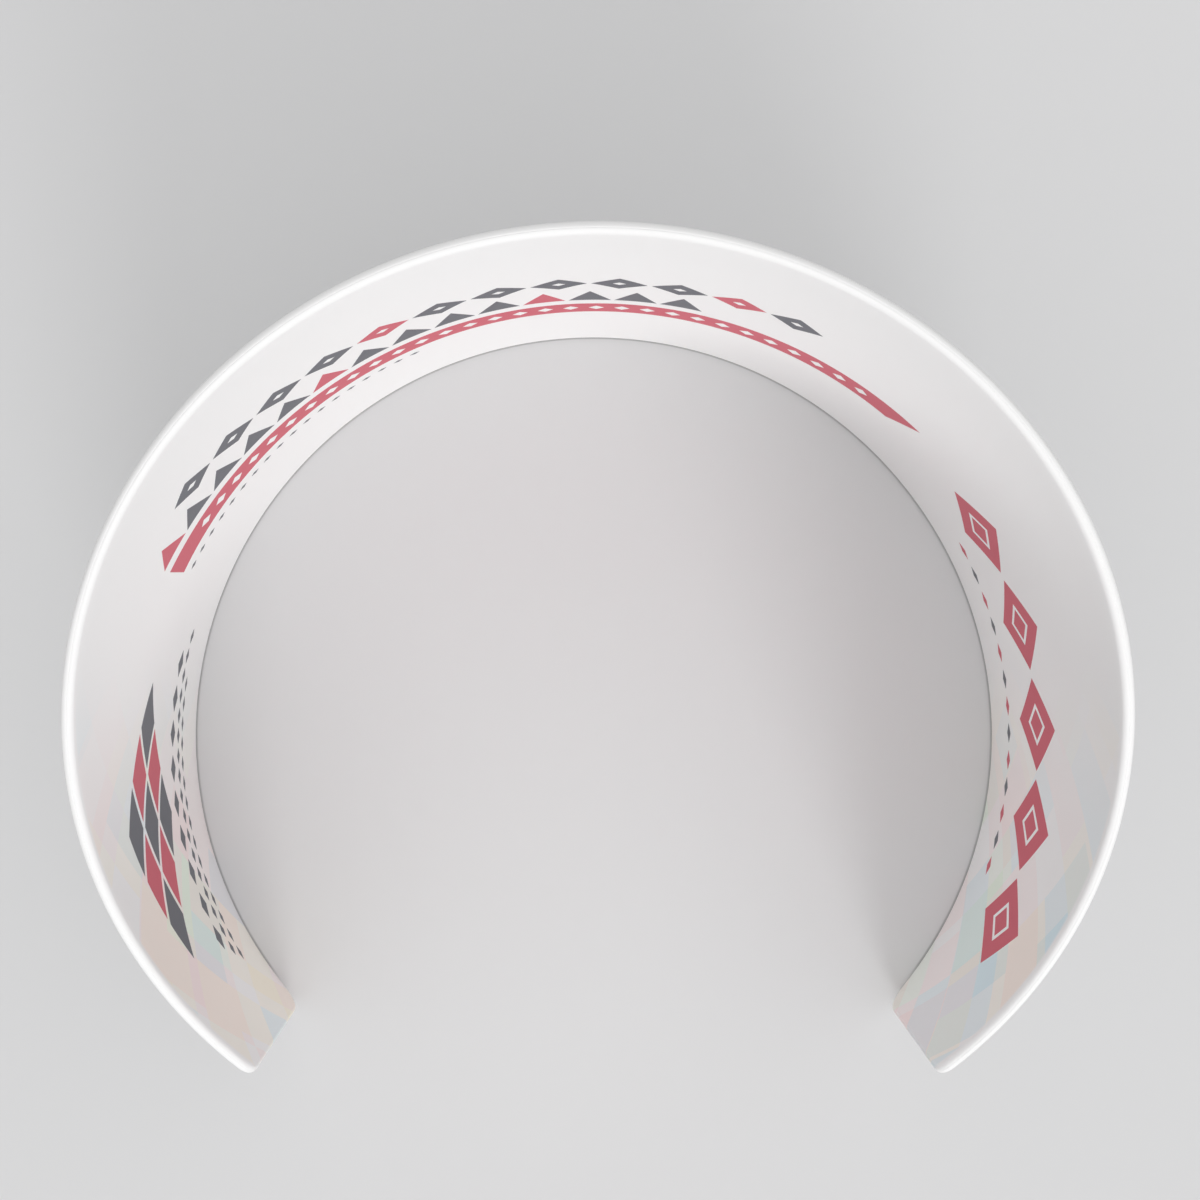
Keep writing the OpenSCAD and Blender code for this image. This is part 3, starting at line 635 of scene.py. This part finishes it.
def clusterMarks(masks, u, v):
    # a diamond of cells, in two diagonal directions
    calc = masks.calc
    across = calc("DIVIDE", calc("SUBTRACT", u, cluster["u"]), cluster["wide"])
    up = calc("DIVIDE", calc("SUBTRACT", v, cluster["v"]), cluster["tall"])
    ways = [calc("ADD", across, up), calc("SUBTRACT", across, up)]
    cells = [masks.inRow(way, 1, -0.5) for way in ways]
    reach = calc("MAXIMUM", *[calc("ABSOLUTE", way) for way in ways])
    inCell = calc("MAXIMUM", *[calc("ABSOLUTE", middle) for middle, _ in cells])
    marks = masks.both(masks.below(reach, cluster["cells"]), masks.below(inCell, cluster["gap"]))
    number = calc("ADD", *[index for _, index in cells])
    return marks, masks.both(marks, masks.everyNth(number, cluster["redEvery"], cluster["redFirst"]))


def facetLayer(tree, calc, u, v, scale, shiftU, shiftV, seed):
    # large lozenges, each with an ink of its own
    wide, tall = facets["wide"] * scale, facets["tall"] * scale
    leanLeft = calc("ADD", calc("DIVIDE", calc("ADD", u, shiftU), wide), calc("DIVIDE", v, tall))
    leanRight = calc("SUBTRACT", calc("DIVIDE", calc("ADD", v, shiftV), tall), calc("DIVIDE", u, wide))
    cell = tree.nodes.new("ShaderNodeCombineXYZ")
    for socket, value in zip(cell.inputs, (calc("FLOOR", leanLeft), calc("FLOOR", leanRight), seed)):
        feed(tree, socket, value)
    noise = tree.nodes.new("ShaderNodeTexWhiteNoise")
    noise.noise_dimensions = "3D"
    tree.links.new(cell.outputs[0], noise.inputs["Vector"])
    ramp = tree.nodes.new("ShaderNodeValToRGB")
    ramp.color_ramp.interpolation = "CONSTANT"
    stops = ramp.color_ramp.elements
    stops.remove(stops[1])
    stops[0].color = (*inks["white"], 1)
    for position, ink in facets["inkSteps"]:
        stops.new(position).color = (*inks[ink], 1)
    tree.links.new(noise.outputs["Value"], ramp.inputs["Fac"])
    return ramp.outputs["Color"]


def printedCloth():
    material, tree, shader = newMaterial("printed_cloth")
    masks, mix, ease = Masks(tree), mixIn(tree), easeIn(tree)
    calc = masks.calc
    u, v = clothCoordinates(tree)
    # the sine of the angle along the wall, as rimHeight has it
    sine = calc("COSINE", calc("DIVIDE", u, wall["radius"]))

    band, bandHoles, bandLow, bandTop = stripeMarks(masks, u, v, calc("SUBTRACT", 1, sine))
    over = calc("SUBTRACT", v, bandTop)
    peaks, peakReds = peakMarks(masks, u, over)
    lozenges, lozengeReds, lozengeHoles = lozengeMarks(masks, u, over)
    underBand = calc("SUBTRACT", calc("SUBTRACT", bandLow, v), dotRow["below"])
    dots = smallMarks(masks, u, underBand, dotRow["pitch"], dotRow["right"], dotRow["left"],
                      dotRow["half"], dotRow["half"])[0]
    bigs, bigLines = bigMarks(masks, u, v)
    lows, lowReds = lowMarks(masks, u, v)
    cells, cellReds = clusterMarks(masks, u, v)
    feet = [smallMarks(masks, u, calc("SUBTRACT", v, height), pitch, right, left, halfWide, halfTall)[0]
            for pitch, right, left, height, halfWide, halfTall in footRows]

    rim = calc("MULTIPLY_ADD", calc("MULTIPLY_ADD", sine, rimSquare, rimLinear), sine, wall["sideHeight"])
    underRim = ease(calc("SUBTRACT", rim, v), facets["rimClear"], facets["rimFade"])
    fade = calc("MULTIPLY", ease(calc("ABSOLUTE", u), facets["from"], facets["full"]), underRim)
    wash = mix(facets["evenMix"], *[facetLayer(tree, calc, u, v, *layer) for layer in facets["layers"]])
    colour = mix(calc("MULTIPLY", fade, facets["strength"]), inks["white"], wash)
    colour = mix(masks.either(peaks, lozenges, dots, lows, cells, *feet), colour, inks["charcoal"])
    colour = mix(masks.either(band, peakReds, lozengeReds, bigs, lowReds, cellReds), colour, inks["red"])
    colour = mix(masks.either(bandHoles, lozengeHoles, bigLines), colour, inks["white"])
    tree.links.new(colour, shader.inputs["Base Color"])
    sheenWeight = calc("MULTIPLY_ADD", underRim, sheen["wall"] - sheen["rim"], sheen["rim"])
    finishKnit(tree, shader, u, v, sheenWeight)
    return material


stitching = {
    "pitch": 0.0045, "share": 0.75, "aside": 0.005, "half": 0.0005, "strength": 0.6,
    "thread": (0.6, 0.6, 0.61),
}


def plainCloth():
    # white, with topstitching along both hems of the zipper's slit
    material, tree, shader = newMaterial("plain_cloth")
    masks, mix = Masks(tree), mixIn(tree)
    calc = masks.calc
    u, v = clothCoordinates(tree)
    onStitch = masks.below(calc("FRACT", calc("DIVIDE", u, stitching["pitch"])), stitching["share"])
    seams = (cloth["slitLow"] - stitching["aside"], cloth["slitHigh"] + stitching["aside"])
    onSeam = masks.either(*[masks.below(calc("ABSOLUTE", calc("SUBTRACT", v, height)), stitching["half"])
                            for height in seams])
    share = calc("MULTIPLY", calc("MULTIPLY", onStitch, onSeam), stitching["strength"])
    tree.links.new(mix(share, inks["white"], stitching["thread"]), shader.inputs["Base Color"])
    finishKnit(tree, shader, u, v, sheen["rim"])
    return material


metalGrain = {
    "scale": 60, "detail": 4, "dullLow": 0.8, "dullHigh": 1.25, "shade": 0.92,
    "strength": 0.05, "distance": 0.0005,
}


def metal(name, colour, roughness, streak):
    material, tree, shader = newMaterial(name)
    stretch = tree.nodes.new("ShaderNodeMapping")
    stretch.inputs["Scale"].default_value = streak
    tree.links.new(objectPlace(tree), stretch.inputs["Vector"])
    grain = noiseAt(tree, stretch.outputs[0], metalGrain["scale"], metalGrain["detail"])
    dull = tree.nodes.new("ShaderNodeMapRange")
    lowest, highest = roughness * metalGrain["dullLow"], roughness * metalGrain["dullHigh"]
    setSockets(dull, {"To Min": lowest, "To Max": highest})
    tree.links.new(grain, dull.inputs["Value"])
    tree.links.new(dull.outputs[0], shader.inputs["Roughness"])
    shade = tuple(part * metalGrain["shade"] for part in colour)
    tree.links.new(mixIn(tree)(grain, shade, colour), shader.inputs["Base Color"])
    shader.inputs["Metallic"].default_value = 1
    addBump(tree, shader, grain, metalGrain["strength"], metalGrain["distance"])
    return material


weave = {
    "pitch": 0.0012, "dark": (0.7, 0.7, 0.7), "light": (0.84, 0.84, 0.84), "contrast": 0.25,
    "roughness": 0.85, "strength": 0.4, "distance": 0.0002,
}


def wovenTape():
    # slanting ribs that meet at the teeth
    material, tree, shader = newMaterial("woven_tape")
    calc, mix = mathIn(tree), mixIn(tree)
    x, y, z = splitUp(tree, objectPlace(tree))
    run = calc("MULTIPLY", calc("ARCTAN2", calc("SUBTRACT", y, centreY), x), tubeCircle)
    aside = calc("ABSOLUTE", calc("SUBTRACT", z, teeth["middle"]))
    ribs = calc("SINE", calc("MULTIPLY", calc("ADD", run, aside), 2 * math.pi / weave["pitch"]))
    share = calc("MULTIPLY_ADD", ribs, weave["contrast"], 0.5)
    tree.links.new(mix(share, weave["dark"], weave["light"]), shader.inputs["Base Color"])
    addBump(tree, shader, ribs, weave["strength"], weave["distance"])
    shader.inputs["Roughness"].default_value = weave["roughness"]
    return material


moulding = {"scale": 180, "dark": (0.78, 0.78, 0.77), "light": (0.86, 0.86, 0.86), "roughness": 0.35}


def mouldedTeeth():
    material, tree, shader = newMaterial("moulded_teeth")
    mottle = noiseAt(tree, objectPlace(tree), moulding["scale"])
    tree.links.new(mixIn(tree)(mottle, moulding["dark"], moulding["light"]), shader.inputs["Base Color"])
    shader.inputs["Roughness"].default_value = moulding["roughness"]
    return material


def dress(obj, material):
    obj.data.materials.clear()
    obj.data.materials.append(material)


finishes = {
    "tube": metal("satin_tube", (0.78, 0.79, 0.81), 0.34, (1, 1, 0.15)),
    "socket": metal("socket_alloy", (0.62, 0.63, 0.66), 0.42, (1, 1, 1)),
    "button": metal("polished_button", (0.72, 0.73, 0.75), 0.16, (1, 1, 1)),
    "spring": metal("spring_strip", (0.5, 0.51, 0.54), 0.3, (1, 1, 4)),
    "rivet": metal("rivet_alloy", (0.6, 0.61, 0.63), 0.4, (1, 1, 1)),
    "zipper_metal": metal("zipper_nickel", (0.66, 0.67, 0.69), 0.22, (1, 1, 1)),
    "zipper_tape": wovenTape(),
    "zipper_row": mouldedTeeth(),
}
printedFinish, plainFinish = printedCloth(), plainCloth()
dress(frontCover, printedFinish)
dress(backCover, plainFinish)
dress(upperTeeth, finishes["zipper_row"])
dress(lowerTeeth, finishes["zipper_row"])
for part in frame["record"]["subparts"]:
    if part["material_slot"] in finishes:
        dress(nodes[part["node"]], finishes[part["material_slot"]])
dress(nodes["front_panel"], printedFinish)
dress(nodes["back_panel"], plainFinish)
print("materials:", len(bpy.data.materials))

# Studio: a pale floor with a painted contact shadow under the wall's foot, a broad soft light from above and
# a narrower one from the front.
# A sun is its name, the way its light travels, its spread in degrees and its strength
studio = {
    "floorSize": 60, "floorColour": (0.69, 0.69, 0.695), "floorRoughness": 0.9, "floorSpecular": 0.1,
    # the gap values set a painted contact shadow on the floor under the wall's foot, fading out towards the
    # wall's ends
    "gapReach": 0.007, "paintedGapShade": 0.34, "gapEndFrom": 0.04, "gapEndTo": 0.1,
    "worldStrength": 0.28, "backdrop": 0.62,
    "suns": (("overhead", (-0.06, 0.05, -1), 105, 1.83), ("front", (-0.22, 0.9, -0.3), 24, 1.24)),
}


def studioFloor():
    # pale, with a painted contact shadow: the colour darkens in the narrow gap under the wall's rounded foot
    material, tree, shader = newMaterial("studio_floor")
    calc, mix, ease = mathIn(tree), mixIn(tree), easeIn(tree)
    x, y, _ = splitUp(tree, objectPlace(tree))
    y = calc("SUBTRACT", y, centreY)
    reach = calc("SQRT", calc("ADD", calc("MULTIPLY", x, x), calc("MULTIPLY", y, y)))
    inner, outer = wall["radius"], wall["radius"] + 2 * wall["clothOuter"]
    ring = calc("MULTIPLY", ease(reach, inner - studio["gapReach"], inner),
                ease(calc("MULTIPLY", reach, -1), -outer - studio["gapReach"], -outer))
    endCosine = math.cos(math.radians(wall["sweep"] / 2))
    along = ease(calc("DIVIDE", y, reach), endCosine + studio["gapEndFrom"], endCosine + studio["gapEndTo"])
    # painted contact shadow: the floor's colour darkened in the ring under the foot
    shade = calc("MULTIPLY", calc("MULTIPLY", ring, along), studio["paintedGapShade"])
    tree.links.new(mix(shade, studio["floorColour"], (0, 0, 0)), shader.inputs["Base Color"])
    shader.inputs["Roughness"].default_value = studio["floorRoughness"]
    shader.inputs["Specular IOR Level"].default_value = studio["floorSpecular"]
    return material


bpy.ops.object.select_all(action="DESELECT")
bpy.ops.mesh.primitive_plane_add(size=studio["floorSize"])
floor = bpy.context.active_object
floor.name = "floor"
dress(floor, studioFloor())

# the world lights the object softly, and is a paler backdrop where it is seen
world = bpy.data.worlds.new("studio")
bpy.context.scene.world = world
world.use_nodes = True
sky, skyTree = world.node_tree.nodes["Background"], world.node_tree
sky.inputs["Color"].default_value = (1, 1, 1, 1)
rays, seen = skyTree.nodes.new("ShaderNodeLightPath"), mathIn(skyTree)
backdrop = seen("MAXIMUM", rays.outputs["Is Camera Ray"],
                seen("MAXIMUM", rays.outputs["Is Glossy Ray"], rays.outputs["Is Transmission Ray"]))
paler = studio["backdrop"] - studio["worldStrength"]
strength = seen("MULTIPLY_ADD", backdrop, paler, studio["worldStrength"])
skyTree.links.new(strength, sky.inputs["Strength"])

for name, towards, spread, power in studio["suns"]:
    sun = bpy.data.objects.new(name, bpy.data.lights.new(name, "SUN"))
    bpy.context.scene.collection.objects.link(sun)
    sun.data.angle = math.radians(spread)
    sun.data.energy = power
    sun.rotation_euler = Vector(towards).to_track_quat("-Z", "Y").to_euler()

# Camera: straight above, a little behind the middle
lens = {
    "focal": 59.42, "sensor": 36, "place": (-0.0483, 0.3619, 7.48),
    "shiftPixels": (19, -28), "framePixels": 1200,
}
camera = bpy.data.objects.new("camera", bpy.data.cameras.new("camera"))
bpy.context.scene.collection.objects.link(camera)
camera.location = lens["place"]
camera.data.sensor_width = lens["sensor"]
camera.data.lens = lens["focal"]
camera.data.shift_x, camera.data.shift_y = (pixels / lens["framePixels"] for pixels in lens["shiftPixels"])
bpy.context.scene.camera = camera
bpy.context.scene.view_settings.view_transform = "Standard"

bpy.context.view_layer.update()
